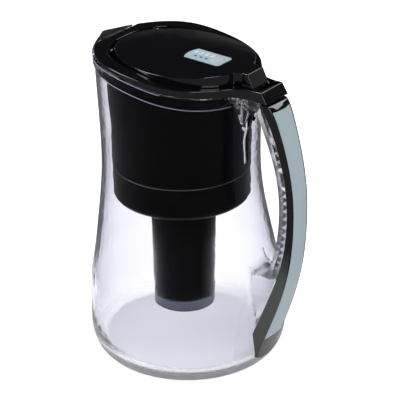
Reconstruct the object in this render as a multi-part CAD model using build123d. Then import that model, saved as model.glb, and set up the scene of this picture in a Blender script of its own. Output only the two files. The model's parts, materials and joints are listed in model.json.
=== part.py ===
from build123d import *
from math import cos, pi, radians, sin, sqrt
import os

os.makedirs("parts", exist_ok=True)

# Water filter pitcher: clear jug, hopper with a cartridge, oval lid with fill door and pour flap.
# Millimetres. Z is up, the spout points to -X, the handle to +X, and the pitcher is symmetric about Y = 0.
# The origin is on the resting plane, on the axis of the cartridge sleeve.

# Jug body: three levels, eased into one another
BASE_RADIUS = 84.0
BASE_CENTRE = 4.0
BASE_WIDE_Z = 24.0
BOTTOM_INSET = 13.0
WAIST_HALF_LENGTH = 67.2
WAIST_HALF_WIDTH = 64.6
WAIST_CENTRE = -2.0
WAIST_Z = 178.0
MOUTH_SPOUT_LENGTH = 78.0
MOUTH_REAR_LENGTH = 71.0
MOUTH_HALF_WIDTH = 61.2
MOUTH_CENTRE = -6.0
MOUTH_Z = 262.0
NOSE_LENGTH_POWER = 2.8
NOSE_WIDTH_POWER = 1.02
REAR_POWER = 2.25
JUG_WALL = 3.0
JUG_FLOOR = 8.0

# Rim of the jug and top of the lid: height, slope, sag and swing along X, level at both ends
RIM_HEIGHT = 257.4
RIM_SLOPE = -0.142
RIM_SAG = -0.0003
RIM_SWING = 8.6e-6
LID_HEIGHT = 262.1
LID_SLOPE = -0.1017
LID_SAG = -0.0002
LID_SWING = 9.0e-6
BAND_HEIGHT = 9.6
BAND_PROUD = 0.9
LEDGE_WIDTH = 1.4
SEAT = 0.3

# Neck that bridges from the rim to the handle
NECK_START = 46.0
NECK_START_WIDTH = 41.0
NECK_WIDTH = 16.2
NECK_END = 88.0
NECK_THICKNESS = 6.6

# Handle stations from top to bottom: back surface point, depths of cover and core, half widths
HANDLE_BACK = [(97.2, 247.2), (106.2, 230.5), (114.4, 204.0), (120.2, 171.0), (120.9, 146.0),
               (118.0, 110.0), (110.2, 76.0), (99.8, 46.0), (92.2, 25.0), (88.0, 10.0)]
HANDLE_LEAN = [0.0, 25.0, 17.0, 6.0, -2.0, -9.0, -17.0, -18.0, -15.0, -10.0]
COVER_DEPTH = [8.6, 7.6, 6.6, 6.4, 6.6, 8.2, 10.4, 11.0, 10.0, 9.0]
CORE_DEPTH = [6.0, 8.6, 8.2, 7.8, 8.0, 8.8, 10.0, 10.5, 9.5, 9.0]
COVER_INNER_WIDTH = [14.0, 12.8, 11.9, 11.3, 11.2, 11.6, 13.0, 16.0, 19.5, 21.0]
COVER_OUTER_WIDTH = [13.0, 11.8, 10.9, 10.4, 10.3, 10.6, 11.4, 12.6, 13.4, 13.4]
COVER_END_Z = 12.0
COVER_END_ROUND = 17.0
COVER_CROWN = 1.0
COVER_WALL = 2.2
CORE_WALL = 2.6
CORE_STEP = 0.8
HANDLE_GAP = 0.5

# Grip inlay on the back of the cover
GRIP_TOP_Z = 243.0
GRIP_BOTTOM_Z = 34.0
GRIP_DEPTH = 1.5
GRIP_MARGIN = 1.4
GRIP_PROUD = 0.2
GRIP_CLEARANCE = 0.1

# Root that carries the foot of the handle, and corbel under the neck
ROOT_TOP_Z = 106.0
ROOT_FOOT_Z = 22.0
ROOT_HOLLOW_FOOT_Z = 48.0
ROOT_SADDLE_RADIUS = 11.0
ROOT_TOP_WIDTH = 10.5
ROOT_FOOT_WIDTH = 24.0
CORBEL_DEPTH = 28.0
CORBEL_REACH = 17.0
CORBEL_FOOT_REACH = 3.0
CORBEL_FOOT_WIDTH = 4.0
RIB_THICKNESS = 2.2
REAR_RIB_Z = 184.0
REAR_RIB_PROUD = 2.4

# Hopper with its sleeve
HOPPER_WALL = 2.0
HOPPER_FLOOR_Z = 140.0
HOPPER_FLOOR = 2.2
HOPPER_RADIUS = 57.7
HOPPER_STEP = 0.5
HOPPER_CENTRE = -0.9
HOPPER_TOP_SPOUT = 62.0
HOPPER_TOP_REAR = 66.6
HOPPER_TOP_WIDTH = 57.3
HOPPER_TURN_Z = 171.0
HOPPER_BOTTOM_ROUND = 4.0
HOPPER_BELOW_RIM = 1.0
COLLAR_FRONT = -46.0
SLEEVE_FOOT_Z = 37.0
SLEEVE_FOOT_RADIUS = 26.0
SLEEVE_TOP_RADIUS = 27.6
SLEEVE_WALL = 1.9
SLEEVE_LEDGE_Z = 46.0
SLEEVE_LEDGE = 2.6
SLEEVE_LEDGE_THICKNESS = 1.5

# Cartridge
CARTRIDGE_CLEARANCE = 0.5
CARTRIDGE_WALL = 1.5
CARTRIDGE_FLANGE = 32.0
CARTRIDGE_FLOOR = 1.8
CARTRIDGE_FLANGE_THICKNESS = 2.0
SEAL_HEIGHT = 2.4
SEAL_INNER = 27.6
CAP_RADIUS = 30.0
CAP_HEIGHT = 20.0
CAP_EDGE = 6.0
CAP_SLOT_START = 13.6
CAP_WALL = 1.6
CAP_SLOTS = 16
CAP_SLOT_WIDTH = 2.2
LOOP_RADIUS = 8.0
LOOP_THICKNESS = 2.4
SCREEN_THICKNESS = 0.8
OUTLET_SLOTS = 10
OUTLET_SLOT_WIDTH = 2.0

# Lid frame
LID_INSET = 1.2
LID_PLATE = 1.9
LID_SKIRT = 2.2
LID_PLUG_FOOT_Z = 246.0
LID_PLUG_WALL = 1.6
LID_PLUG_CLEARANCE = 0.5
LID_TUB_WALL = 1.8
LID_TUB_FLOOR = 1.8
LID_LEDGE = 4.0
LID_LEDGE_FRONT = -42.0
TAIL_SOLID_START = 68.0
TAIL_TOP_END = 90.4
TAIL_FOOT_END = 96.4
RECESS_WALL = 2.4
RECESS_FLOOR_Z = 251.6

# Fill door
DOOR_CENTRE = 5.0
DOOR_SPOUT_LENGTH = 63.5
DOOR_REAR_LENGTH = 60.0
DOOR_HALF_WIDTH = 49.0
DOOR_GAP = 1.1
OPENING_NOSE_POWER = 2.6
DOOR_CROWN = [(-64.0, 264.8, 263.2), (-30.0, 266.8, 264.6), (5.0, 267.3, 264.6),
              (40.0, 267.4, 265.2), (82.0, 268.5, 267.0)]
DOOR_BOTTOM_Z = 256.8
DOOR_NOSE_FOOT_Z = 262.2
DOOR_HEEL_X = -45.0
DOOR_WALL = 2.0
DOOR_TOP = 2.4
TONGUE_WIDTH = 10.2
TONGUE_TOP_END = 74.2
TONGUE_FOOT_END = 79.8
LINER = 1.4
LINER_CLEARANCE = 0.1
DOOR_HINGE_X = -51.0
DOOR_HINGE_Z = 263.0
DOOR_PIN_RADIUS = 1.3
DOOR_KNUCKLE_RADIUS = 1.8
DOOR_KNUCKLE_END = 27.2
DOOR_PIN_END = 29.4
DOOR_BOSS_RADIUS = 2.4
DOOR_BOSS_END = 31.2
PIN_CLEARANCE = 0.06

# Pour flap
FLAP_HINGE_X = -71.4
FLAP_BARREL = 1.7
FLAP_BARREL_SUNK = 0.25
FLAP_BARREL_HALF = 12.0
FLAP_PIN_RADIUS = 1.0
FLAP_PIN_END = 14.4
FLAP_PLATE = 1.4
FLAP_GAP = 0.5
FLAP_EAR = 2.6
FLAP_EAR_STEM = 2.0

# Change indicator in the door
FACE_START = 8.0
FACE_END = 44.7
FACE_HALF_WIDTH = 9.6
FACE_BOW = 2.4
FACE_ROUND = 2.2
FACE_THICKNESS = 1.2
FACE_TOP_Z = 267.7
HOUSING_WALL = 1.2
HOUSING_GAP = 0.3
BUTTON_X = 36.4
BUTTON_RADIUS = 5.8
BUTTON_PROUD = 0.5
BUTTON_FLANGE = 1.2
BUTTON_FLANGE_THICKNESS = 1.0
BUTTON_TRAVEL = 0.8
DOME_RADIUS = 3.6
BUTTON_CLEARANCE = 0.08
LAMP_X = 17.5
LAMP_PITCH = 5.3
LAMP_Y = -3.6
LAMP_RADIUS = 1.1
LAMP_COUNT = 3
BOARD_THICKNESS = 1.0
BOARD_MARGIN = 0.6
CELL_RADIUS = 6.2
CELL_THICKNESS = 2.0
CELL_X = 19.0

REACH = 150.0


def mix(a, b, share):
    return a + (b - a) * share


def rim_z(x):
    return RIM_HEIGHT + RIM_SLOPE * x + RIM_SAG * x ** 2 + RIM_SWING * x ** 3


def lid_z(x):
    return LID_HEIGHT + LID_SLOPE * x + LID_SAG * x ** 2 + LID_SWING * x ** 3


def cubic(height, start, end, lift=0.0):
    """The curve z = height(x) + lift as a four-point Bezier edge in the XZ plane."""
    third = (end - start) / 3
    step = 0.01
    rise = [(height(x + step) - height(x - step)) / (2 * step) for x in (start, end)]
    z_start, z_end = height(start) + lift, height(end) + lift
    return Bezier((start, 0, z_start), (start + third, 0, z_start + rise[0] * third),
                  (end - third, 0, z_end - rise[1] * third), (end, 0, z_end))


def slab(low, high):
    """A wide block between two curves of the side view; a curve is a number or (height function, lift)."""
    def edge(curve):
        if isinstance(curve, tuple):
            return cubic(curve[0], -REACH, REACH, curve[1])
        return Line((-REACH, 0, curve), (REACH, 0, curve))
    bottom, top = edge(low), edge(high)
    left = Line(bottom @ 0, top @ 0)
    right = Line(bottom @ 1, top @ 1)
    return extrude(make_face(Wire([bottom, right, top, left])), REACH, dir=(0, 1, 0), both=True)


def side_block(points, half_width):
    """A polygon of the side view, thickened both ways from the middle plane."""
    outline = Polyline(*[(x, 0, z) for x, z in points], close=True)
    return extrude(make_face(outline), half_width, dir=(0, 1, 0), both=True)


def egg(centre, spout, rear, width, nose_powers=(2.0, 2.0), rear_power=2.0, z=0.0):
    """Closed outline: one half towards the spout, with its powers along X and Y, and one to the handle."""
    count = 20
    points = []
    for i in range(count):
        angle = 2 * pi * i / count
        c, s = cos(angle), sin(angle)
        length, powers = (rear, (rear_power, rear_power)) if c >= 0 else (spout, nose_powers)
        x = centre + length * abs(c) ** (2 / powers[0]) * (1 if c >= 0 else -1)
        y = width * abs(s) ** (2 / powers[1]) * (1 if s >= 0 else -1)
        points.append((x, y, z))
    return make_face(Spline(*points, periodic=True))


def bottom_inset(z):
    if z >= BASE_WIDE_Z:
        return 0.0
    return BOTTOM_INSET * (1 - sqrt(1 - (1 - z / BASE_WIDE_Z) ** 2))


def jug_section(z, grow=0.0, floor=0.0):
    """Outline of the jug at height z, grown by an offset, with its bottom round standing on floor."""
    if z <= WAIST_Z:
        share = max(0.0, (z - BASE_WIDE_Z) / (WAIST_Z - BASE_WIDE_Z))
        ease = (1 - cos(pi * share)) / 2
        centre = mix(BASE_CENTRE, WAIST_CENTRE, ease)
        spout = rear = mix(BASE_RADIUS, WAIST_HALF_LENGTH, ease)
        width = mix(BASE_RADIUS, WAIST_HALF_WIDTH, ease)
        nose_powers, rear_power = (2.0, 2.0), 2.0
    else:
        ease = min(1.0, (z - WAIST_Z) / (MOUTH_Z - WAIST_Z)) ** 2
        centre = mix(WAIST_CENTRE, MOUTH_CENTRE, ease)
        spout = mix(WAIST_HALF_LENGTH, MOUTH_SPOUT_LENGTH, ease)
        rear = mix(WAIST_HALF_LENGTH, MOUTH_REAR_LENGTH, ease)
        width = mix(WAIST_HALF_WIDTH, MOUTH_HALF_WIDTH, ease)
        nose_powers = mix(2.0, NOSE_LENGTH_POWER, ease), mix(2.0, NOSE_WIDTH_POWER, ease)
        rear_power = mix(2.0, REAR_POWER, ease)
    grow -= bottom_inset(z - floor)
    return egg(centre, spout + grow, rear + grow, width + grow, nose_powers, rear_power, z)


def jug_rear_x(z):
    """X of the jug's rear wall in the middle plane."""
    box = jug_section(z).bounding_box()
    return box.max.X


def mouth_plan(grow, end, end_shift=0.0):
    """Plan of the mouth with the neck that reaches back over the handle, as one face."""
    oval = egg(MOUTH_CENTRE, MOUTH_SPOUT_LENGTH + grow, MOUTH_REAR_LENGTH + grow,
               MOUTH_HALF_WIDTH + grow, (NOSE_LENGTH_POWER, NOSE_WIDTH_POWER), REAR_POWER)
    foot = NECK_WIDTH - 0.8 + grow + end_shift
    flank = [(NECK_START, NECK_START_WIDTH + grow), (MOUTH_CENTRE + MOUTH_REAR_LENGTH - 5, 29.0 + grow),
             (MOUTH_CENTRE + MOUTH_REAR_LENGTH + 2, 20.4 + grow), (NECK_END - 12, NECK_WIDTH + grow), (end, foot)]
    near = Spline(*[(x, -y) for x, y in flank])
    far = Spline(*flank)
    neck = make_face(Wire([near, Line(near @ 1, far @ 1), far, Line(near @ 0, far @ 0)]))
    return oval + neck


def save(shape, name):
    shape.label = name
    export_step(shape, f"parts/{name}.step")


def handle_point(station, depth):
    """A point of the side view at a depth under the handle's back surface."""
    x, z = HANDLE_BACK[station]
    lean = radians(HANDLE_LEAN[station])
    return x - depth * cos(lean), z - depth * sin(lean)


def handle_section(station, near, far, inner, outer, crown=0.0):
    """Closed section across the handle between two depths, with a crowned back."""
    xn, zn = handle_point(station, near + crown)
    xt, zt = handle_point(station, near)
    xf, zf = handle_point(station, far)
    a, b = (xf, -inner, zf), (xf, inner, zf)
    c, d = (xn, outer, zn), (xn, -outer, zn)
    back = ThreePointArc(c, (xt, 0, zt), d) if crown else Line(c, d)
    return make_face(Wire([Line(a, b), Line(b, c), back, Line(d, a)]))


STATIONS = range(len(HANDLE_BACK))


def handle_cover():
    """Curved black channel that closes the core, hollow towards it, with a bed for the grip."""
    solid = loft([handle_section(i, 0, COVER_DEPTH[i], COVER_INNER_WIDTH[i], COVER_OUTER_WIDTH[i], COVER_CROWN)
                  for i in STATIONS])
    hollow = loft([handle_section(i, COVER_WALL + GRIP_DEPTH + COVER_CROWN, COVER_DEPTH[i] + 1,
                                  COVER_INNER_WIDTH[i] - COVER_WALL, COVER_OUTER_WIDTH[i] - COVER_WALL)
                   for i in STATIONS])
    top, foot = HANDLE_BACK[0][1] - COVER_WALL, ROOT_HOLLOW_FOOT_Z
    inside = side_block([(0, top), (REACH, top), (REACH, foot), (0, foot)], REACH)
    jug = loft([jug_section(z, HANDLE_GAP) for z in BASE_HEIGHTS + [46, 72, 98]])
    end = Plane.YZ * Location((0, COVER_END_Z + REACH)) * Rectangle(2 * COVER_INNER_WIDTH[-1], 2 * REACH)
    rounded = extrude(fillet(end.vertices(), COVER_END_ROUND), REACH)
    return (solid & rounded) - (hollow & inside) - grip_body(0.0) - jug


def grip_body(clearance):
    """Inlay that follows the crowned back; with no clearance it is the bed that is cut for it."""
    proud = 0 if clearance else GRIP_PROUD
    widths = [width - GRIP_MARGIN - clearance for width in COVER_OUTER_WIDTH]
    shape = loft([handle_section(i, -proud, GRIP_DEPTH + COVER_CROWN - clearance, widths[i], widths[i],
                                 COVER_CROWN * (widths[i] / COVER_OUTER_WIDTH[i]) ** 2) for i in STATIONS])
    top, foot = GRIP_TOP_Z - clearance, GRIP_BOTTOM_Z + clearance
    return shape & side_block([(0, top), (REACH, top), (REACH, foot), (0, foot)], REACH)


def core_width(station):
    return COVER_INNER_WIDTH[station] - CORE_STEP


def handle_core():
    """Clear channel in one piece with the jug, open towards the cover: its outside and its hollow."""
    outer = loft([handle_section(i, COVER_DEPTH[i] + HANDLE_GAP, COVER_DEPTH[i] + CORE_DEPTH[i],
                                 core_width(i), core_width(i)) for i in STATIONS])
    hollow = loft([handle_section(i, COVER_DEPTH[i] - 1, COVER_DEPTH[i] + CORE_DEPTH[i] - CORE_WALL,
                                  core_width(i) - CORE_WALL, core_width(i) - CORE_WALL) for i in STATIONS])
    foot = ROOT_HOLLOW_FOOT_Z
    above_foot = side_block([(0, foot), (REACH, foot), (REACH, 2 * REACH), (0, 2 * REACH)], REACH)
    return outer, hollow & above_foot


def cover_face_at(z):
    """X and half width of the cover's inner face at height z, between the stations."""
    inner = [handle_point(i, COVER_DEPTH[i]) for i in STATIONS]
    for i in range(len(inner) - 1):
        upper, lower = inner[i], inner[i + 1]
        if lower[1] <= z or i == len(inner) - 2:
            share = (upper[1] - z) / (upper[1] - lower[1])
            return mix(upper[0], lower[0], share), mix(COVER_INNER_WIDTH[i], COVER_INNER_WIDTH[i + 1], share)


def core_inner_x(z):
    """X of the core's face towards the jug at height z."""
    inner = [handle_point(i, COVER_DEPTH[i] + CORE_DEPTH[i]) for i in STATIONS]
    for upper, lower in zip(inner, inner[1:]):
        if lower[1] <= z <= upper[1]:
            return mix(upper[0], lower[0], (upper[1] - z) / (upper[1] - lower[1]))


def root_block(inset, low, high):
    """Wedge between the jug's rear wall and the cover, wide at the foot."""
    sections = []
    for share in (0.0, 0.33, 0.66, 1.0):
        z = mix(low, high, share)
        width = mix(ROOT_FOOT_WIDTH, ROOT_TOP_WIDTH, (z - ROOT_FOOT_Z) / (ROOT_TOP_Z - ROOT_FOOT_Z)) - inset
        x_cover, w_cover = cover_face_at(z)
        start = jug_rear_x(z) - (12.0 if inset == 0 else -0.4)
        end = x_cover - (HANDLE_GAP if inset == 0 else -1.0)
        w_cover -= CORE_STEP + inset
        sections.append(make_face(Polyline((start, -width, z), (end, -w_cover, z), (end, w_cover, z),
                                           (start, width, z), close=True)))
    return loft(sections, ruled=True)


def root_saddle(z):
    """Round bar across the handle that scoops the top of the root."""
    middle = (jug_rear_x(z) + core_inner_x(z)) / 2
    return Cylinder(ROOT_SADDLE_RADIUS, 2 * REACH, rotation=(90, 0, 0)).moved(Location((middle, 0, z)))


def corbel():
    """Ribbed bracket in the corner under the neck, narrowing down to the rear rib."""
    top = rim_z(NECK_END) - NECK_THICKNESS + 1
    foot = top - CORBEL_DEPTH
    wall_top, wall_foot = jug_rear_x(top), jug_rear_x(foot)
    sections = []
    for z, reach, width in ((foot, CORBEL_FOOT_REACH, CORBEL_FOOT_WIDTH),
                            (mix(foot, top, 0.5), CORBEL_REACH * 0.42, NECK_WIDTH * 0.55),
                            (top, CORBEL_REACH, NECK_WIDTH - 1)):
        wall = jug_rear_x(z)
        sections.append(make_face(Polyline((wall - 8, -width, z), (wall + reach, -width, z),
                                           (wall + reach, width, z), (wall - 8, width, z), close=True)))
    envelope = loft(sections)
    rib = side_block([(wall_foot - 8, foot - 1), (REACH, foot - 1), (REACH, top + 1), (wall_top - 8, top + 1)],
                     RIB_THICKNESS / 2)
    outermost = NECK_WIDTH - 1 - RIB_THICKNESS / 2
    body = side_block([(wall_foot - 8, foot), (wall_foot + RIB_THICKNESS, foot),
                       (wall_top + RIB_THICKNESS, top), (wall_top - 8, top)], REACH)
    for share in (-1, -0.5, 0, 0.5, 1):
        body += rib.moved(Location((0, share * outermost, 0)))
    return envelope & body


BASE_HEIGHTS = [0, 2, 7, 14, BASE_WIDE_Z]


def make_jug():
    heights = BASE_HEIGHTS + [54, 86, 118, 150, WAIST_Z, 222, MOUTH_Z, 292]
    outer = loft([jug_section(z) for z in heights])
    inner_heights = [JUG_FLOOR + z for z in BASE_HEIGHTS] + heights[len(BASE_HEIGHTS):-1] + [296]
    inner = loft([jug_section(z, -JUG_WALL, JUG_FLOOR) for z in inner_heights])
    band_heights = [MOUTH_Z - 44, MOUTH_Z - 22, MOUTH_Z, MOUTH_Z + 30]
    band = loft([jug_section(z, BAND_PROUD) for z in band_heights]) & slab((rim_z, -BAND_HEIGHT), (rim_z, 0))
    pocket = loft([jug_section(z, LEDGE_WIDTH - JUG_WALL) for z in band_heights])
    pocket = pocket & slab((rim_z, -BAND_HEIGHT), 2 * REACH)
    neck = extrude(mouth_plan(BAND_PROUD, NECK_END), 2 * REACH) & slab((rim_z, -NECK_THICKNESS), (rim_z, 0))
    core, hollow = handle_core()
    root = root_block(0.0, ROOT_FOOT_Z, ROOT_TOP_Z) - root_saddle(ROOT_TOP_Z)
    root_hollow = root_block(CORE_WALL, ROOT_HOLLOW_FOOT_Z, ROOT_TOP_Z - ROOT_SADDLE_RADIUS - CORE_WALL)
    rib_top = rim_z(NECK_END) - CORBEL_DEPTH
    rib_foot_x, rib_top_x = jug_rear_x(REAR_RIB_Z), jug_rear_x(rib_top)
    rear_rib = side_block([(rib_foot_x - JUG_WALL / 2, REAR_RIB_Z), (rib_foot_x + REAR_RIB_PROUD, REAR_RIB_Z + 3),
                           (rib_top_x + REAR_RIB_PROUD, rib_top), (rib_top_x - JUG_WALL / 2, rib_top)],
                          RIB_THICKNESS / 2)
    jug = outer.fuse(band, neck, core, root, corbel(), rear_rib) & slab(-20.0, (rim_z, 0))
    for space in (inner, pocket, hollow, root_hollow):
        jug -= space
    return jug.solids().sort_by(SortBy.VOLUME)[-1]


def hopper_section(z, grow=0.0):
    """Outline of the upper part of the hopper: round at the turn, following the mouth at the top."""
    ease = ((z - HOPPER_TURN_Z) / (MOUTH_Z - HOPPER_TURN_Z)) ** 2
    return egg(mix(HOPPER_CENTRE, MOUTH_CENTRE, ease),
               mix(HOPPER_RADIUS, HOPPER_TOP_SPOUT, ease) + grow,
               mix(HOPPER_RADIUS, HOPPER_TOP_REAR, ease) + grow,
               mix(HOPPER_RADIUS, HOPPER_TOP_WIDTH, ease) + grow,
               (2.0, 2.0), mix(2.0, REAR_POWER, ease), z)


def turned(points, centre=0.0):
    """A closed polyline of radius and height, turned about an upright axis."""
    face = make_face(Polyline(*[(r, 0, z) for r, z in points], close=True))
    return revolve(face, Axis.Z).moved(Location((centre, 0, 0)))


def sleeve_inner(z):
    share = (z - SLEEVE_FOOT_Z) / (HOPPER_FLOOR_Z - SLEEVE_FOOT_Z)
    return mix(SLEEVE_FOOT_RADIUS, SLEEVE_TOP_RADIUS, share) - SLEEVE_WALL


def make_hopper():
    floor_top = HOPPER_FLOOR_Z + HOPPER_FLOOR
    radius, turn = HOPPER_RADIUS - HOPPER_STEP, HOPPER_TURN_Z
    cup = Cylinder(radius, turn - HOPPER_FLOOR_Z, align=(Align.CENTER, Align.CENTER, Align.MIN))
    cup = fillet(cup.edges().group_by(Axis.Z)[0], HOPPER_BOTTOM_ROUND).moved(Location((HOPPER_CENTRE, 0, HOPPER_FLOOR_Z)))
    inside = Cylinder(radius - HOPPER_WALL, turn - floor_top + 1, align=(Align.CENTER, Align.CENTER, Align.MIN))
    inside = fillet(inside.edges().group_by(Axis.Z)[0], HOPPER_BOTTOM_ROUND - HOPPER_WALL)
    inside = inside.moved(Location((HOPPER_CENTRE, 0, floor_top)))
    heights = [turn, 196, 222, 242, MOUTH_Z, MOUTH_Z + 14]
    wall = loft([hopper_section(z) for z in heights]) & slab(0.0, (rim_z, -HOPPER_BELOW_RIM))
    collar = loft([jug_section(z, LEDGE_WIDTH - JUG_WALL - SEAT) for z in (MOUTH_Z - 34, MOUTH_Z, MOUTH_Z + 20)])
    collar = collar & slab((rim_z, SEAT - BAND_HEIGHT), (rim_z, -HOPPER_BELOW_RIM))
    collar = collar & side_block([(COLLAR_FRONT, 0), (REACH, 0), (REACH, 2 * REACH), (COLLAR_FRONT, 2 * REACH)], REACH)
    tank = cup + wall + collar - loft([hopper_section(z, -HOPPER_WALL) for z in heights]) - inside
    ledge = SLEEVE_LEDGE_Z, SLEEVE_LEDGE_Z + SLEEVE_LEDGE_THICKNESS
    sleeve = turned([(SLEEVE_FOOT_RADIUS, SLEEVE_FOOT_Z), (SLEEVE_TOP_RADIUS, HOPPER_FLOOR_Z),
                     (SLEEVE_TOP_RADIUS, floor_top), (sleeve_inner(floor_top), floor_top),
                     (sleeve_inner(ledge[1]), ledge[1]), (sleeve_inner(ledge[1]) - SLEEVE_LEDGE, ledge[1]),
                     (sleeve_inner(ledge[1]) - SLEEVE_LEDGE, ledge[0]), (sleeve_inner(ledge[0]), ledge[0]),
                     (sleeve_inner(SLEEVE_FOOT_Z), SLEEVE_FOOT_Z)])
    bore = Cylinder(sleeve_inner(HOPPER_FLOOR_Z), REACH, align=(Align.CENTER, Align.CENTER, Align.MIN))
    return tank - bore.moved(Location((0, 0, HOPPER_FLOOR_Z - 1))) + sleeve


CARTRIDGE_FOOT_Z = SLEEVE_LEDGE_Z + SLEEVE_LEDGE_THICKNESS + SEAT
FLANGE_Z = HOPPER_FLOOR_Z + HOPPER_FLOOR + SEAT + SEAL_HEIGHT
CAP_Z = FLANGE_Z + CARTRIDGE_FLANGE_THICKNESS


def cartridge_radius(z):
    return sleeve_inner(z) - CARTRIDGE_CLEARANCE


def slots(count, width, start, end, low, high):
    """Radial slots as one group of bars around the Z axis."""
    bar = Box(end - start, width, high - low, align=(Align.MIN, Align.CENTER, Align.MIN))
    bars = [bar.moved(Location((0, 0, 0), (0, 0, 360 * (i + 0.5) / count)) * Location((start, 0, low)))
            for i in range(count)]
    return Compound(children=bars)


def dome(radius, crown):
    """Part of a ball over a short upright edge, open at its foot."""
    rise = crown - CAP_Z - CAP_EDGE
    ball_radius = (radius ** 2 + rise ** 2) / (2 * rise)
    ball = Sphere(ball_radius).moved(Location((0, 0, crown - ball_radius)))
    upright_edge = Cylinder(radius, REACH, align=(Align.CENTER, Align.CENTER, Align.MIN))
    return ball & upright_edge.moved(Location((0, 0, CAP_Z)))


def make_cartridge():
    foot, wall = CARTRIDGE_FOOT_Z, CARTRIDGE_WALL
    inner_floor = foot + CARTRIDGE_FLOOR
    cup = turned([(0, foot), (cartridge_radius(foot), foot), (cartridge_radius(FLANGE_Z), FLANGE_Z),
                  (CARTRIDGE_FLANGE, FLANGE_Z), (CARTRIDGE_FLANGE, CAP_Z),
                  (cartridge_radius(FLANGE_Z) - wall, CAP_Z), (cartridge_radius(foot) - wall, inner_floor),
                  (0, inner_floor)])
    cup -= slots(OUTLET_SLOTS, OUTLET_SLOT_WIDTH, 6, cartridge_radius(foot) - 2 * wall, foot - 1, inner_floor + 1)
    seal = turned([(SEAL_INNER, FLANGE_Z - SEAL_HEIGHT), (CARTRIDGE_FLANGE - 0.6, FLANGE_Z - SEAL_HEIGHT),
                   (CARTRIDGE_FLANGE, FLANGE_Z - SEAL_HEIGHT / 2), (CARTRIDGE_FLANGE - 0.6, FLANGE_Z),
                   (SEAL_INNER, FLANGE_Z)])
    screen_foot = inner_floor, inner_floor + SCREEN_THICKNESS
    top_screen = CAP_Z - SCREEN_THICKNESS, CAP_Z
    reach = cartridge_radius(foot) - wall - 0.1
    bottom_screen = turned([(0, screen_foot[0]), (reach, screen_foot[0]), (reach, screen_foot[1]), (0, screen_foot[1])])
    upper = cartridge_radius(FLANGE_Z) - wall - 0.1
    upper_screen = turned([(0, top_screen[0]), (upper, top_screen[0]), (upper, top_screen[1]), (0, top_screen[1])])
    media = turned([(0, screen_foot[1]), (reach, screen_foot[1]), (upper - 0.1, top_screen[0]), (0, top_screen[0])])
    crown = CAP_Z + CAP_HEIGHT
    cap = dome(CAP_RADIUS, crown) - dome(CAP_RADIUS - CAP_WALL, crown - CAP_WALL)
    slot = Box(CAP_RADIUS - CAP_SLOT_START, CAP_SLOT_WIDTH, REACH, align=(Align.MIN, Align.CENTER, Align.MIN))
    for i in range(CAP_SLOTS):
        cap -= slot.moved(Location((0, 0, 0), (0, 0, 360 * (i + 0.5) / CAP_SLOTS))
                          * Location((CAP_SLOT_START - 1.6, 0, CAP_Z + CAP_EDGE / 2)))
    loop = Torus(LOOP_RADIUS, LOOP_THICKNESS / 2, rotation=(90, 0, 0)).moved(Location((0, 0, crown - 1)))
    above_crown = Box(REACH, REACH, REACH, align=(Align.CENTER, Align.CENTER, Align.MIN))
    cap += loop & above_crown.moved(Location((0, 0, crown - CAP_WALL / 2)))
    return {"filter_shell": cup, "filter_seal": seal, "filter_bottom_screen": bottom_screen,
            "filter_media": media, "filter_top_screen": upper_screen, "filter_cap": cap}


def door_plan(grow, nose_power=2.0):
    """Plan of the door with its tongue; a higher power makes the end towards the spout fuller."""
    oval = egg(DOOR_CENTRE, DOOR_SPOUT_LENGTH + grow, DOOR_REAR_LENGTH + grow, DOOR_HALF_WIDTH + grow,
               (nose_power, nose_power))
    width, end = TONGUE_WIDTH + grow, TONGUE_FOOT_END + grow
    start = DOOR_CENTRE + DOOR_REAR_LENGTH * 0.82
    shoulder = DOOR_CENTRE + DOOR_REAR_LENGTH * 0.98
    near = Spline((start, -width - 13), (shoulder, -width - 2.2), (shoulder + 6, -width))
    far = Spline((start, width + 13), (shoulder, width + 2.2), (shoulder + 6, width))
    outline = [near, Line(near @ 1, (end, -width)), Line((end, -width), (end, width)),
               Line((end, width), far @ 1), far, Line(far @ 0, near @ 0)]
    return oval + make_face(Wire(outline))


def door_crown(lift):
    """Block under the crowned top of the door."""
    half = DOOR_HALF_WIDTH + 4
    sections = []
    for x, middle, side in DOOR_CROWN:
        foot = DOOR_BOTTOM_Z - 20
        arc = ThreePointArc((x, half, side + lift), (x, 0, middle + lift), (x, -half, side + lift))
        sections.append(make_face(Wire([Line((x, -half, foot), (x, half, foot)), Line((x, half, foot), arc @ 0),
                                        arc, Line(arc @ 1, (x, -half, foot))])))
    return loft(sections)


def door_profile(inset=0.0):
    """Side view of the door: raised heel behind the hinge, level underside, sloping end of the tongue."""
    top = DOOR_BOTTOM_Z + 30
    slope = (TONGUE_FOOT_END - TONGUE_TOP_END) / (DOOR_CROWN[-1][1] - DOOR_BOTTOM_Z)
    return side_block([(-REACH, DOOR_NOSE_FOOT_Z), (DOOR_CENTRE - DOOR_SPOUT_LENGTH, DOOR_NOSE_FOOT_Z),
                       (DOOR_HEEL_X, DOOR_BOTTOM_Z), (TONGUE_FOOT_END - inset, DOOR_BOTTOM_Z),
                       (TONGUE_FOOT_END - inset - slope * (top - DOOR_BOTTOM_Z), top), (-REACH, top)], REACH)


def across(x, z, radius, start, end):
    """Two round bars along Y, mirrored about the middle plane."""
    bar = Cylinder(radius, end - start, align=(Align.CENTER, Align.CENTER, Align.MIN))
    far = bar.moved(Location((x, start, z), (-90, 0, 0)))
    near = bar.moved(Location((x, -start, z), (90, 0, 0)))
    return far, near


def face_plan(grow):
    """Plan of the indicator's face: a bowed end towards the spout and rounded corners at the other."""
    start, end, half = FACE_START + FACE_BOW - grow, FACE_END + grow, FACE_HALF_WIDTH + grow
    bow = ThreePointArc((start, half), (start - FACE_BOW, 0), (start, -half))
    face = make_face(Wire([bow, Line(bow @ 1, (end, -half)), Line((end, -half), (end, half)), Line((end, half), bow @ 0)]))
    return fillet(face.vertices().group_by(Axis.X)[-1], FACE_ROUND)


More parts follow.
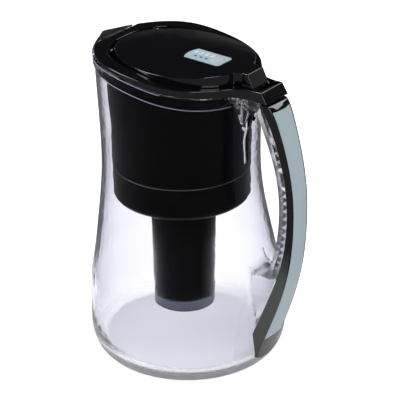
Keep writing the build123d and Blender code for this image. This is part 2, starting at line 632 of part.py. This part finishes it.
def level(face, low, high):
    """A flat face raised to a plate between two heights."""
    return extrude(face.moved(Location((0, 0, low))), high - low)


def upright(face):
    """A flat face raised through the whole lid."""
    return level(face, 200.0, 2 * REACH)


def make_door():
    full = door_crown(0) & upright(door_plan(0)) & door_profile()
    hollow = door_crown(-DOOR_TOP) & upright(door_plan(-DOOR_WALL)) & door_profile(DOOR_WALL)
    liner_low, liner_high = DOOR_BOTTOM_Z, DOOR_BOTTOM_Z + LINER
    cavity = hollow & side_block([(DOOR_HEEL_X, 0), (REACH, 0), (REACH, 2 * REACH), (DOOR_HEEL_X, 2 * REACH)], REACH)
    door = full - cavity - upright(face_plan(LINER_CLEARANCE))
    for bar in across(DOOR_HINGE_X, DOOR_HINGE_Z, DOOR_KNUCKLE_RADIUS, DOOR_KNUCKLE_END - 7, DOOR_KNUCKLE_END):
        door += bar
    for bar in across(DOOR_HINGE_X, DOOR_HINGE_Z, DOOR_PIN_RADIUS, DOOR_KNUCKLE_END - 1, DOOR_PIN_END):
        door += bar
    liner = level(door_plan(-DOOR_WALL - LINER_CLEARANCE), liner_low, liner_high)
    edge = DOOR_HEEL_X + LINER_CLEARANCE
    liner = liner & side_block([(edge, 0), (TONGUE_TOP_END, 0), (TONGUE_TOP_END, 2 * REACH), (edge, 2 * REACH)], REACH)
    return door, liner


def make_indicator():
    low = DOOR_BOTTOM_Z + LINER + HOUSING_GAP
    face_low = FACE_TOP_Z - FACE_THICKNESS
    face = level(face_plan(0), face_low, FACE_TOP_Z)
    housing = level(face_plan(0), low, face_low)
    housing -= level(face_plan(-HOUSING_WALL), low + HOUSING_WALL, face_low + 1)
    cell_low = low + HOUSING_WALL
    cell = Cylinder(CELL_RADIUS, CELL_THICKNESS, align=(Align.CENTER, Align.CENTER, Align.MIN))
    cell = cell.moved(Location((CELL_X, 0, cell_low)))
    board_low = cell_low + CELL_THICKNESS
    board_top = board_low + BOARD_THICKNESS
    board = level(face_plan(-HOUSING_WALL - BOARD_MARGIN), board_low, board_top)
    flange_top = face_low - SEAT
    flange_low = flange_top - BUTTON_FLANGE_THICKNESS
    stem = BUTTON_RADIUS - BUTTON_CLEARANCE
    button = turned([(0, flange_low), (BUTTON_RADIUS + BUTTON_FLANGE, flange_low), (BUTTON_RADIUS + BUTTON_FLANGE, flange_top),
                     (stem, flange_top), (stem, FACE_TOP_Z + BUTTON_PROUD - 0.4), (stem - 0.4, FACE_TOP_Z + BUTTON_PROUD),
                     (0, FACE_TOP_Z + BUTTON_PROUD)], BUTTON_X)
    dome_top = flange_low - BUTTON_TRAVEL - 0.15
    dome = turned([(0, board_top), (DOME_RADIUS, board_top), (DOME_RADIUS * 0.55, dome_top), (0, dome_top)], BUTTON_X)
    face -= Cylinder(BUTTON_RADIUS, REACH).moved(Location((BUTTON_X, 0, face_low)))
    lamps = []
    for i in range(LAMP_COUNT):
        place = Location((LAMP_X + i * LAMP_PITCH, LAMP_Y, board_top))
        lamps.append(Cylinder(LAMP_RADIUS, FACE_TOP_Z + 0.1 - board_top,
                              align=(Align.CENTER, Align.CENTER, Align.MIN)).moved(place))
        face -= Cylinder(LAMP_RADIUS + BUTTON_CLEARANCE, REACH).moved(place)
    return {"indicator_face": face, "indicator_housing": housing, "coin_cell": cell, "circuit_board": board,
            "reset_button": button, "button_dome": dome, "indicator_lamps": Compound(children=lamps)}


FLAP_HINGE_Z = lid_z(FLAP_HINGE_X) - FLAP_BARREL - FLAP_BARREL_SUNK
FLAP_SEAM_X = FLAP_HINGE_X + FLAP_BARREL + FLAP_GAP


def make_flap():
    ahead = side_block([(-REACH, 0), (FLAP_HINGE_X - 0.2, 0), (FLAP_HINGE_X - 0.2, 2 * REACH), (-REACH, 2 * REACH)], REACH)
    plate = upright(mouth_plan(BAND_PROUD - LID_INSET, NECK_END)) & slab((lid_z, -FLAP_PLATE), (lid_z, 0))
    barrel = Cylinder(FLAP_BARREL, 2 * FLAP_BARREL_HALF, rotation=(90, 0, 0)).moved(Location((FLAP_HINGE_X, 0, FLAP_HINGE_Z)))
    flap = (plate & ahead) + barrel
    flap += plate & Box(2 * FLAP_BARREL, 2 * FLAP_BARREL_HALF, REACH).moved(Location((FLAP_HINGE_X - FLAP_BARREL, 0, FLAP_HINGE_Z)))
    for bar in across(FLAP_HINGE_X, FLAP_HINGE_Z, FLAP_PIN_RADIUS, FLAP_BARREL_HALF - 1, FLAP_PIN_END):
        flap += bar
    return flap


def make_lid():
    plan = mouth_plan(BAND_PROUD - LID_INSET, TAIL_FOOT_END + 3)
    inner_plan = mouth_plan(BAND_PROUD - LID_INSET - LID_SKIRT, TAIL_FOOT_END - LID_SKIRT)
    outer = upright(plan)
    plate = outer & slab((lid_z, -LID_PLATE), (lid_z, 0))
    skirt = (outer - upright(inner_plan)) & slab((rim_z, SEAT), (lid_z, 0))
    tail = outer & slab((rim_z, SEAT), (lid_z, 0))
    tail = tail & side_block([(TAIL_SOLID_START, 0), (REACH, 0), (REACH, 2 * REACH), (TAIL_SOLID_START, 2 * REACH)], REACH)
    tub_floor = DOOR_BOTTOM_Z - SEAT
    tub = upright(door_plan(DOOR_GAP + LID_TUB_WALL, OPENING_NOSE_POWER)) & slab(tub_floor - LID_TUB_FLOOR, (lid_z, 0))
    plug_plan = hopper_section(LID_PLUG_FOOT_Z, -HOPPER_WALL - LID_PLUG_CLEARANCE).moved(Location((0, 0, -LID_PLUG_FOOT_Z)))
    plug_inner = hopper_section(LID_PLUG_FOOT_Z, -HOPPER_WALL - LID_PLUG_CLEARANCE - LID_PLUG_WALL)
    plug_inner = plug_inner.moved(Location((0, 0, -LID_PLUG_FOOT_Z)))
    plug = (upright(plug_plan) - upright(plug_inner)) & slab(LID_PLUG_FOOT_Z, (lid_z, -LID_PLATE / 2))
    gap_plan = door_plan(DOOR_GAP, OPENING_NOSE_POWER)
    recess = upright(gap_plan) & slab(tub_floor, 2 * REACH)
    front = side_block([(-REACH, 0), (LID_LEDGE_FRONT, 0), (LID_LEDGE_FRONT, 2 * REACH), (-REACH, 2 * REACH)], REACH)
    opening = upright(plug_inner) & (upright(door_plan(-LID_LEDGE)) + (upright(gap_plan) & front))
    end_x = TAIL_FOOT_END - RECESS_WALL - 4
    thumb_low, thumb_half = RECESS_FLOOR_Z, NECK_WIDTH - LID_INSET - RECESS_WALL
    thumb = side_block([(TONGUE_FOOT_END + DOOR_GAP - 4, tub_floor), (TONGUE_FOOT_END, thumb_low), (end_x, thumb_low),
                        (TAIL_TOP_END - RECESS_WALL, 2 * REACH), (TONGUE_FOOT_END + DOOR_GAP - 4, 2 * REACH)], thumb_half)
    lid = plate + skirt + tail + tub + plug - recess - opening - thumb
    for boss in across(DOOR_HINGE_X, DOOR_HINGE_Z, DOOR_BOSS_RADIUS, DOOR_KNUCKLE_END + SEAT, DOOR_BOSS_END):
        lid += boss
    end_slope = (TAIL_FOOT_END - TAIL_TOP_END) / (lid_z(TAIL_TOP_END) - rim_z(TAIL_FOOT_END))
    rise = 2 * REACH - rim_z(TAIL_FOOT_END)
    lid -= side_block([(TAIL_FOOT_END, rim_z(TAIL_FOOT_END)), (TAIL_FOOT_END - end_slope * rise, 2 * REACH),
                       (2 * REACH, 2 * REACH), (2 * REACH, 0), (TAIL_FOOT_END, 0)], REACH)
    lid -= side_block([(-REACH, 0), (FLAP_SEAM_X, 0), (FLAP_SEAM_X, 2 * REACH), (-REACH, 2 * REACH)], REACH)
    ear_low, ear_top = FLAP_HINGE_Z - FLAP_BARREL - 0.6, FLAP_HINGE_Z + 0.1
    for side in (1, -1):
        near, far = FLAP_BARREL_HALF + SEAT, FLAP_BARREL_HALF + SEAT + FLAP_EAR
        ear = Box(FLAP_SEAM_X - FLAP_HINGE_X + FLAP_BARREL + FLAP_EAR_STEM, far - near, ear_top - ear_low,
                  align=(Align.MIN, Align.CENTER, Align.MIN))
        stem = Box(FLAP_EAR_STEM, far - near, lid_z(FLAP_SEAM_X) - LID_PLATE / 2 - ear_low,
                   align=(Align.MIN, Align.CENTER, Align.MIN))
        lid += ear.moved(Location((FLAP_HINGE_X - FLAP_BARREL, side * (near + far) / 2, ear_low)))
        lid += stem.moved(Location((FLAP_SEAM_X, side * (near + far) / 2, ear_low)))
    for bar in across(FLAP_HINGE_X, FLAP_HINGE_Z, FLAP_PIN_RADIUS + PIN_CLEARANCE, FLAP_BARREL_HALF, FLAP_PIN_END + SEAT):
        lid -= bar
    for bar in across(DOOR_HINGE_X, DOOR_HINGE_Z, DOOR_PIN_RADIUS + PIN_CLEARANCE, DOOR_KNUCKLE_END - 2, DOOR_PIN_END + SEAT):
        lid -= bar
    return lid


save(make_jug(), "jug")
save(handle_cover(), "handle_shell")
save(grip_body(GRIP_CLEARANCE), "handle_grip")
save(make_hopper(), "hopper")
for node, solid in make_cartridge().items():
    save(solid, node)
save(make_lid(), "lid_frame")
save(make_flap(), "pour_flap")
door_solid, liner_solid = make_door()
save(door_solid, "fill_door")
save(liner_solid, "door_liner")
for node, solid in make_indicator().items():
    save(solid, node)
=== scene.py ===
import bpy
import json
from math import pi, radians
from mathutils import Matrix, Vector
from mathutils.bvhtree import BVHTree

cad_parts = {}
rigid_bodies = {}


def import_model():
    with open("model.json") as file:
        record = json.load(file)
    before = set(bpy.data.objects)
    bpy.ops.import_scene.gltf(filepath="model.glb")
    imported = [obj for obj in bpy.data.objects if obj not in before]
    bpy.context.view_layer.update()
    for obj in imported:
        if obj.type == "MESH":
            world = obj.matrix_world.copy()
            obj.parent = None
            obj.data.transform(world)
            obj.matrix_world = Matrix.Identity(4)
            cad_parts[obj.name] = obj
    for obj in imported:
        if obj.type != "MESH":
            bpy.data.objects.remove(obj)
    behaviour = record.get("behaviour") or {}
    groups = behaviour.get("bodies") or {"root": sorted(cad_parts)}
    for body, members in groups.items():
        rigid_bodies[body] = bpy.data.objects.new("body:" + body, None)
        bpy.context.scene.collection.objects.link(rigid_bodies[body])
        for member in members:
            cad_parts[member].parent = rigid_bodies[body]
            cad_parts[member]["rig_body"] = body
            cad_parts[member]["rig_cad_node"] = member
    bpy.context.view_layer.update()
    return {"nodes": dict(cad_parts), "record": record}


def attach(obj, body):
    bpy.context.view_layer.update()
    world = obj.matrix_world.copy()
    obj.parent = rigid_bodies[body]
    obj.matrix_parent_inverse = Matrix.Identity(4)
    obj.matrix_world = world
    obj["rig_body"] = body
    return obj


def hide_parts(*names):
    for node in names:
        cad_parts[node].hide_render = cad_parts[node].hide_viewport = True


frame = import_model()
nodes = frame["nodes"]
record = frame["record"]
body_of = {node: body for body, members in record["behaviour"]["bodies"].items() for node in members}
bpy.ops.object.select_all(action="DESELECT")


# Jug. One injection moulding of clear hard plastic: round base, waist, sloping oval mouth with a pouring
# lip, neck bridge and the open channel of the handle. Its thick edges show a faint lavender.
def feed(tree, socket, source):
    """Gives a socket its number or colour, or links it to the socket that drives it."""
    if isinstance(source, bpy.types.NodeSocket):
        tree.links.new(source, socket)
    else:
        socket.default_value = source


def wire(tree, kind, **inputs):
    """Adds a shader node and feeds its named inputs."""
    node = tree.nodes.new("ShaderNode" + kind)
    for name, source in inputs.items():
        feed(tree, node.inputs[name.replace("_", " ")], source)
    return node


def join(tree, operation, *terms, clamp=False):
    """Adds one math node on sockets or numbers and gives its result."""
    node = tree.nodes.new("ShaderNodeMath")
    node.operation = operation
    node.use_clamp = clamp
    for socket, term in zip(node.inputs, terms):
        feed(tree, socket, term)
    return node.outputs[0]


def between(tree, factor, first, second):
    """Mixes two colours by a factor."""
    node = tree.nodes.new("ShaderNodeMix")
    node.data_type = "RGBA"
    for name, source in (("Factor", factor), ("A", first), ("B", second)):
        feed(tree, node.inputs[name], source)
    return node.outputs["Result"]


def place_of(tree):
    """Object coordinates, whole and split into X, Y and Z."""
    whole = wire(tree, "TexCoord").outputs["Object"]
    return whole, wire(tree, "SeparateXYZ", Vector=whole).outputs


# The surface of every moulded piece: slow flow ripples, a fine polish and patches of duller gloss.
moulded = bpy.data.node_groups.new("moulded_surface", "ShaderNodeTree")
for label, value in (("Ripple Scale", 18.0), ("Ripple", 0.3), ("Gloss Low", 0.05), ("Gloss High", 0.12)):
    moulded.interface.new_socket(label, in_out="INPUT", socket_type="NodeSocketFloat").default_value = value
for label in ("Height", "Roughness"):
    moulded.interface.new_socket(label, in_out="OUTPUT", socket_type="NodeSocketFloat")
given = moulded.nodes.new("NodeGroupInput").outputs
made = moulded.nodes.new("NodeGroupOutput").inputs
where = wire(moulded, "TexCoord").outputs["Object"]
ripple = wire(moulded, "TexNoise", Vector=where, Scale=given["Ripple Scale"], Detail=1.0)
polish = wire(moulded, "TexNoise", Vector=where, Scale=900.0, Detail=3.0)
patches = wire(moulded, "TexNoise", Vector=where, Scale=60.0, Detail=5.0)
waves = join(moulded, "MULTIPLY", ripple.outputs["Fac"], given["Ripple"])
feed(moulded, made["Height"], join(moulded, "MULTIPLY_ADD", polish.outputs["Fac"], 0.02, waves))
gloss = wire(moulded, "MapRange", Value=patches.outputs["Fac"], From_Min=0.35, From_Max=0.7,
             To_Min=given["Gloss Low"], To_Max=given["Gloss High"])
feed(moulded, made["Roughness"], gloss.outputs["Result"])


def plastic(name, colour, gloss, ripple_height, ripple_scale=18.0, bump=0.00004, **sockets):
    """A moulded plastic: plain numbers on the shader, ripple and gloss from the shared group."""
    material = bpy.data.materials.new(name)
    material.use_nodes = True
    tree = material.node_tree
    shader = tree.nodes["Principled BSDF"]
    shader.inputs["Base Color"].default_value = (*colour, 1.0)
    for socket, value in sockets.items():
        shader.inputs[socket.replace("_", " ")].default_value = value
    surface = tree.nodes.new("ShaderNodeGroup")
    surface.node_tree = moulded
    for label, value in (("Ripple Scale", ripple_scale), ("Ripple", ripple_height),
                         ("Gloss Low", gloss[0]), ("Gloss High", gloss[1])):
        surface.inputs[label].default_value = value
    feed(tree, shader.inputs["Roughness"], surface.outputs["Roughness"])
    relief = wire(tree, "Bump", Strength=1.0, Distance=bump, Height=surface.outputs["Height"])
    feed(tree, shader.inputs["Normal"], relief.outputs["Normal"])
    return material


def finish_node(name, material):
    """Puts one material on a piece whose shape is right."""
    mesh = nodes[name].data
    mesh.materials.clear()
    mesh.materials.append(material)


MERGE_REACH = 0.00002
FLAT_TURN = radians(0.6)
BEVEL_TURN = radians(38)


def dressed_copy(name, material, edge=0.0, corner=32.0):
    """Merged copy of a piece with smooth curves and, where it is given, rounded edges."""
    mesh = nodes[name].data.copy()
    piece = bpy.data.objects.new(name + "_dressed", mesh)
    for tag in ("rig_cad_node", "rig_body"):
        for owner in (piece, mesh):
            if tag in owner:
                del owner[tag]
    bpy.context.collection.objects.link(piece)
    mesh.materials.clear()
    mesh.materials.append(material)
    bpy.ops.object.select_all(action="DESELECT")
    piece.select_set(True)
    bpy.context.view_layer.objects.active = piece
    bpy.ops.object.mode_set(mode="EDIT")
    bpy.ops.mesh.select_all(action="SELECT")
    bpy.ops.mesh.remove_doubles(threshold=MERGE_REACH)
    if edge:
        bpy.ops.mesh.dissolve_limited(angle_limit=FLAT_TURN)
    bpy.ops.object.mode_set(mode="OBJECT")
    if edge:
        bevel = piece.modifiers.new("edge_round", "BEVEL")
        bevel.width = edge
        bevel.segments = 3
        bevel.limit_method = "ANGLE"
        bevel.angle_limit = BEVEL_TURN
        bevel.use_clamp_overlap = False
        bpy.ops.object.modifier_apply(modifier="edge_round")
    bpy.ops.object.shade_smooth_by_angle(angle=radians(corner))
    even = piece.modifiers.new("even_shading", "WEIGHTED_NORMAL")
    even.keep_sharp = True
    even.weight = 50
    bpy.ops.object.modifier_apply(modifier="even_shading")
    piece.select_set(False)
    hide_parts(name)
    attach(piece, body_of[name])
    return piece


CORE_X = (0.072, 0.082)
CORE_HAZE = 0.34
FOOT_Z = (0.018, 0.010)
FOOT_HAZE = 0.3

clear_plastic = plastic("clear_plastic", (0.9, 0.9, 0.95), (0.0, 0.02), 0.3, 12.0, 0.00003,
                        IOR=1.22, Transmission_Weight=1.0, Specular_Tint=(0.8, 0.8, 0.84, 1.0))
tree = clear_plastic.node_tree
shader = tree.nodes["Principled BSDF"]
slant = wire(tree, "LayerWeight", Blend=0.5).outputs["Facing"]
feed(tree, shader.inputs["Base Color"],
     between(tree, join(tree, "POWER", slant, 2.2), (0.89, 0.89, 0.925, 1.0), (0.42, 0.42, 0.54, 1.0)))
where, axes = place_of(tree)
core = wire(tree, "MapRange", Value=axes["X"], From_Min=CORE_X[0], From_Max=CORE_X[1], To_Max=CORE_HAZE)
foot = wire(tree, "MapRange", Value=axes["Z"], From_Min=FOOT_Z[0], From_Max=FOOT_Z[1], To_Max=FOOT_HAZE)
blur = join(tree, "MAXIMUM", core.outputs["Result"], tree.nodes["Group"].outputs["Roughness"])
feed(tree, shader.inputs["Roughness"], join(tree, "MAXIMUM", blur, foot.outputs["Result"]))
jug = dressed_copy("jug", clear_plastic)

BEAD_POINTS = 180
BEAD_START = 0.2
BEAD_END_X = 0.066


def bead(name, body_node, piece, height_at, radius, material):
    """Thin raised line round the outside of a piece, at a height that depends on X: the moulded lines at
    the jug's rim, and the painted highlight line at the hopper's step.
    """
    skin = BVHTree.FromObject(piece, bpy.context.evaluated_depsgraph_get())
    bpy.ops.object.select_all(action="DESELECT")
    bpy.ops.mesh.primitive_circle_add(vertices=BEAD_POINTS, radius=BEAD_START)
    line = bpy.context.object
    line.name = line.data.name = name
    for point in line.data.vertices:
        outward = Vector((point.co.x, point.co.y, 0))
        x = outward.x / 4
        for _ in range(4):
            spot = skin.ray_cast(outward + Vector((0, 0, height_at(x))), -outward.normalized())[0]
            x = spot.x
        point.co = spot
    bpy.ops.object.mode_set(mode="EDIT")
    bpy.ops.mesh.select_mode(type="VERT")
    bpy.ops.mesh.select_all(action="DESELECT")
    bpy.ops.object.mode_set(mode="OBJECT")
    for point in line.data.vertices:
        point.select = point.co.x > BEAD_END_X
    bpy.ops.object.mode_set(mode="EDIT")
    bpy.ops.mesh.delete(type="VERT")
    bpy.ops.object.mode_set(mode="OBJECT")
    bpy.ops.object.convert(target="CURVE")
    line.data.bevel_depth = radius
    line.data.bevel_resolution = 2
    line.data.use_fill_caps = True
    bpy.ops.object.convert(target="MESH")
    line = bpy.context.object
    line.data.materials.clear()
    line.data.materials.append(material)
    bpy.ops.object.shade_smooth()
    line.select_set(False)
    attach(line, body_of[body_node])


def rim_height(x):
    """Height of the jug's sloping rim above the table, all in metres."""
    return 0.2574 - 0.142 * x - 0.3 * x * x + 8.6 * x ** 3


rim_violet = plastic("rim_violet", (0.36, 0.33, 0.52), (0.1, 0.2), 0.1)
for name, drop in (("rim_edge_line", 0.0006), ("band_edge_line", 0.0096)):
    bead(name, "jug", jug, lambda x: rim_height(x) - drop, 0.0003, rim_violet)


# Handle cover. A glossy black channel, snapped over the clear core from behind, with a bed for the grip.
gloss_black = plastic("gloss_black", (0.0035, 0.0035, 0.005), (0.05, 0.1), 0.4, Specular_IOR_Level=0.8)
dressed_copy("handle_shell", gloss_black, edge=0.0006)


# Grip. A satin inlay of pale blue-grey soft plastic, pressed into the bed of the cover.
grip_soft = plastic("grip_soft", (0.42, 0.52, 0.565), (0.34, 0.46), 0.3, Specular_IOR_Level=0.35)
dressed_copy("handle_grip", grip_soft, edge=0.0003)


# Hopper. A smoke-tinted see-through tank, one moulding with the long sleeve that holds the cartridge.
# The tint is near black, and the base colour is painted lighter at the sleeve's open foot, where no
# cartridge stands behind: painted light showing through.
PAINTED_LIGHT_FOOT_Z = (0.043, 0.052)
STEP_Z = 0.1685

smoke_plastic = plastic("smoke_plastic", (0.02, 0.0205, 0.026), (0.14, 0.2), 0.3, 14.0, 0.00003,
                        IOR=1.3, Transmission_Weight=1.0, Specular_Tint=(0.1, 0.1, 0.12, 1.0))
tree = smoke_plastic.node_tree
where, axes = place_of(tree)
# Painted light: the base colour is lighter grey below the sleeve foot height and the near black tint above
# it.
painted_foot_light = tree.nodes.new("ShaderNodeMapRange")
painted_foot_light.interpolation_type = "SMOOTHSTEP"
for label, source in (("From Min", PAINTED_LIGHT_FOOT_Z[0]), ("From Max", PAINTED_LIGHT_FOOT_Z[1]), ("Value", axes["Z"])):
    feed(tree, painted_foot_light.inputs[label], source)
feed(tree, tree.nodes["Principled BSDF"].inputs["Base Color"],
     between(tree, painted_foot_light.outputs["Result"], (0.14, 0.15, 0.19, 1.0), (0.02, 0.0205, 0.026, 1.0)))
hopper = dressed_copy("hopper", smoke_plastic)
# The grey bead round the hopper's step is a painted highlight line, where the step would catch the light.
step_highlight_grey = plastic("step_highlight_grey", (0.12, 0.115, 0.15), (0.2, 0.3), 0.1)
bead("hopper_step_highlight_line", "hopper", hopper, lambda x: STEP_Z, 0.00022, step_highlight_grey)


# Cartridge. A near black moulded cup under a slotted dome with a pull loop, standing on the sleeve's
# ledge. A soft lip seal closes the flange, and fine screens hold the granules between cup and cap.
cartridge_plastic = plastic("cartridge_plastic", (0.02, 0.021, 0.023), (0.3, 0.42), 0.6)
dressed_copy("filter_shell", cartridge_plastic)
dressed_copy("filter_cap", cartridge_plastic)
seal_rubber = plastic("seal_rubber", (0.6, 0.6, 0.58), (0.55, 0.7), 0.4)
dressed_copy("filter_seal", seal_rubber)

weave = bpy.data.node_groups.new("screen_threads", "ShaderNodeTree")
weave.interface.new_socket("Height", in_out="OUTPUT", socket_type="NodeSocketFloat")
made = weave.nodes.new("NodeGroupOutput").inputs
where = wire(weave, "TexCoord").outputs["Object"]
threads = []
for direction in ("X", "Y"):
    thread = wire(weave, "TexWave", Vector=where, Scale=500.0)
    thread.bands_direction = direction
    threads.append(thread.outputs["Fac"])
feed(weave, made["Height"], join(weave, "MAXIMUM", *threads))
screen_weave = plastic("screen_weave", (0.5, 0.5, 0.5), (0.5, 0.6), 0.4)
tree = screen_weave.node_tree
net = tree.nodes.new("ShaderNodeGroup")
net.node_tree = weave
relief = tree.nodes["Bump"]
relief.inputs["Distance"].default_value = 0.0003
feed(tree, relief.inputs["Height"], net.outputs["Height"])
finish_node("filter_top_screen", screen_weave)
finish_node("filter_bottom_screen", screen_weave)

granules = plastic("granules", (0.02, 0.02, 0.02), (0.6, 0.8), 3.0, 500.0, 0.0004)
tree = granules.node_tree
grain = wire(tree, "TexVoronoi", Vector=wire(tree, "TexCoord").outputs["Object"], Scale=900.0)
feed(tree, tree.nodes["Bump"].inputs["Height"], grain.outputs["Distance"])
finish_node("filter_media", granules)


# Lid. A gloss black ring with its tail over the handle, the tub round the fill opening and the thumb
# recess, in one moulding that plugs into the hopper.
dressed_copy("lid_frame", gloss_black, edge=0.0007)


# Pour flap. A small black plate over the lip, on two pins in the lid's ears; the stream lifts it.
dressed_copy("pour_flap", gloss_black, edge=0.0003)


# Fill door. A crowned gloss black shell with a finger tongue, closed below by a flat liner.
dressed_copy("fill_door", gloss_black, edge=0.0006)
dressed_copy("door_liner", gloss_black)


# Change indicator. A pale blue face plate on a sealed housing let into the door, with dark lamp windows,
# a round button over a rubber dome, and the board and coin cell inside. The face has four plain bars.
BAR_STEP = 0.0055
BAR_WIDTH = 0.0033
BARS_X = (0.0112, 0.0325)
BARS_Y = (0.0012, 0.0062)

face_blue = plastic("face_blue", (0.47, 0.66, 0.74), (0.3, 0.4), 0.2)
tree = face_blue.node_tree
where, axes = place_of(tree)
bars = join(tree, "LESS_THAN", join(tree, "MODULO", axes["X"], BAR_STEP), BAR_WIDTH)
for side, (low, high) in (("X", BARS_X), ("Y", BARS_Y)):
    bars = join(tree, "MULTIPLY", bars, join(tree, "GREATER_THAN", axes[side], low))
    bars = join(tree, "MULTIPLY", bars, join(tree, "LESS_THAN", axes[side], high))
feed(tree, tree.nodes["Principled BSDF"].inputs["Base Color"],
     between(tree, bars, (0.47, 0.62, 0.69, 1.0), (0.8, 0.87, 0.9, 1.0)))
dressed_copy("indicator_face", face_blue, edge=0.0002)
dressed_copy("indicator_housing", face_blue)
button_pale = plastic("button_pale", (0.58, 0.66, 0.69), (0.35, 0.45), 0.2)
dressed_copy("reset_button", button_pale)
finish_node("button_dome", seal_rubber)
lamp_dark = plastic("lamp_dark", (0.05, 0.055, 0.06), (0.2, 0.3), 0.1)
finish_node("indicator_lamps", lamp_dark)
board_green = plastic("board_green", (0.01, 0.1, 0.04), (0.3, 0.4), 0.1)
finish_node("circuit_board", board_green)
cell_steel = plastic("cell_steel", (0.6, 0.6, 0.6), (0.2, 0.35), 0.1, Metallic=1.0)
finish_node("coin_cell", cell_steel)


# Floor. A wide sheet of white paper that keeps the soft shadow. It is white where it is seen straight or
# through the glass, and mostly dark in gloss, apart from a patch round the foot.
FOOT_PATCH = (0.17, 0.23)
TURNED_DIMMING = 0.65

bpy.ops.mesh.primitive_plane_add(size=8.0, location=(0, 0, -0.0004))
floor = bpy.context.object
floor.name = "floor"
paper = bpy.data.materials.new("floor_paper")
paper.use_nodes = True
tree = paper.node_tree
shader = tree.nodes["Principled BSDF"]
for label, value in (("Base Color", (0.9, 0.9, 0.9, 1.0)), ("Roughness", 0.9), ("Specular IOR Level", 0.0)):
    shader.inputs[label].default_value = value
path = wire(tree, "LightPath").outputs
reach = tree.nodes.new("ShaderNodeVectorMath")
reach.operation = "LENGTH"
feed(tree, reach.inputs[0], wire(tree, "TexCoord").outputs["Object"])
away = wire(tree, "MapRange", Value=reach.outputs["Value"],
            From_Min=FOOT_PATCH[0], From_Max=FOOT_PATCH[1]).outputs["Result"]
seen = join(tree, "MAXIMUM", path["Is Camera Ray"], path["Is Transmission Ray"])
turned = join(tree, "MULTIPLY", join(tree, "GREATER_THAN", path["Glossy Depth"], 0.5), away)
straight = join(tree, "MULTIPLY", seen,
                join(tree, "SUBTRACT", 1.0, join(tree, "MULTIPLY", turned, TURNED_DIMMING)))
close = join(tree, "SUBTRACT", path["Is Glossy Ray"], away, clamp=True)
bright = join(tree, "MAXIMUM", straight, join(tree, "MULTIPLY", close, 0.4))
glow = wire(tree, "Emission", Strength=0.6)
dark = wire(tree, "BsdfTransparent", Color=(0, 0, 0, 1))
lit = wire(tree, "MixShader", Fac=bright)
add = tree.nodes.new("ShaderNodeAddShader")
calm = wire(tree, "MixShader", Fac=join(tree, "MULTIPLY", turned, 0.8))
for source, node, slot in ((dark, lit, 1), (glow, lit, 2), (shader, add, 0), (lit, add, 1), (add, calm, 1),
                           (dark, calm, 2), (calm, tree.nodes["Material Output"], 0)):
    tree.links.new(source.outputs[0], node.inputs[slot])
floor.data.materials.append(paper)


# World. White for what is seen directly and low round the horizon, dim overhead, so that gloss stays black.
HORIZON = (0.30, 0.12)

world = bpy.data.worlds.new("studio")
bpy.context.scene.world = world
world.use_nodes = True
tree = world.node_tree
sky = tree.nodes["Background"]
sky.inputs["Color"].default_value = (1, 1, 1, 1)
sky.inputs["Strength"].default_value = 0.3
white = wire(tree, "Background", Color=(1, 1, 1, 1), Strength=1.0)
dim = wire(tree, "Background", Strength=0.02)
path = wire(tree, "LightPath").outputs
up = wire(tree, "SeparateXYZ", Vector=wire(tree, "TexCoord").outputs["Generated"]).outputs["Z"]
low = wire(tree, "MapRange", Value=up, From_Min=HORIZON[0], From_Max=HORIZON[1]).outputs["Result"]
seen = join(tree, "MAXIMUM", path["Is Camera Ray"], path["Is Transmission Ray"])
turned = join(tree, "GREATER_THAN", path["Glossy Depth"], 0.5)
straight = join(tree, "MULTIPLY", seen,
                join(tree, "SUBTRACT", 1.0, join(tree, "MULTIPLY", turned, TURNED_DIMMING)))
skyline = join(tree, "MULTIPLY", join(tree, "MULTIPLY", path["Is Glossy Ray"], low), 0.3)
above = wire(tree, "MixShader", Fac=path["Is Glossy Ray"])
whole = wire(tree, "MixShader", Fac=join(tree, "MAXIMUM", straight, skyline))
for source, node, slot in ((sky, above, 1), (dim, above, 2), (above, whole, 1), (white, whole, 2),
                           (whole, tree.nodes["World Output"], 0)):
    tree.links.new(source.outputs[0], node.inputs[slot])


# Studio. A broad soft lamp on each side and one behind, all turned to the pitcher's middle.
LAMP_SIZE = 1.0
MIDDLE = Vector((0.01, 0, 0.14))

for name, stand, power in (("key", (-1.4, -1.2, 1.7), 34.0), ("fill", (1.6, -1.0, 1.2), 14.0),
                           ("back", (1.2, 1.7, 1.6), 14.0)):
    bpy.ops.object.light_add(type="AREA", location=stand)
    lamp = bpy.context.object
    lamp.name = name
    lamp.data.size = LAMP_SIZE
    lamp.data.energy = power
    lamp.rotation_euler = (MIDDLE - Vector(stand)).to_track_quat("-Z", "Y").to_euler()


# Camera. Three-quarter view from the handle side, a little above.
TARGET = Vector((0.0178, 0.0, 0.1365))
AZIMUTH, ELEVATION, ROLL, DISTANCE = radians(38.5), radians(27.0), radians(-0.5), 1.503

bpy.ops.object.camera_add()
camera = bpy.context.object
camera.data.sensor_width = 36.0
camera.data.lens = 161.9
turn = (Matrix.Rotation(AZIMUTH, 4, "Z") @ Matrix.Rotation(pi / 2 - ELEVATION, 4, "X")
        @ Matrix.Rotation(ROLL, 4, "Z"))
camera.matrix_world = Matrix.Translation(TARGET + turn.to_3x3() @ Vector((0, 0, DISTANCE))) @ turn
bpy.context.scene.camera = camera
bpy.context.scene.view_settings.view_transform = "Standard"
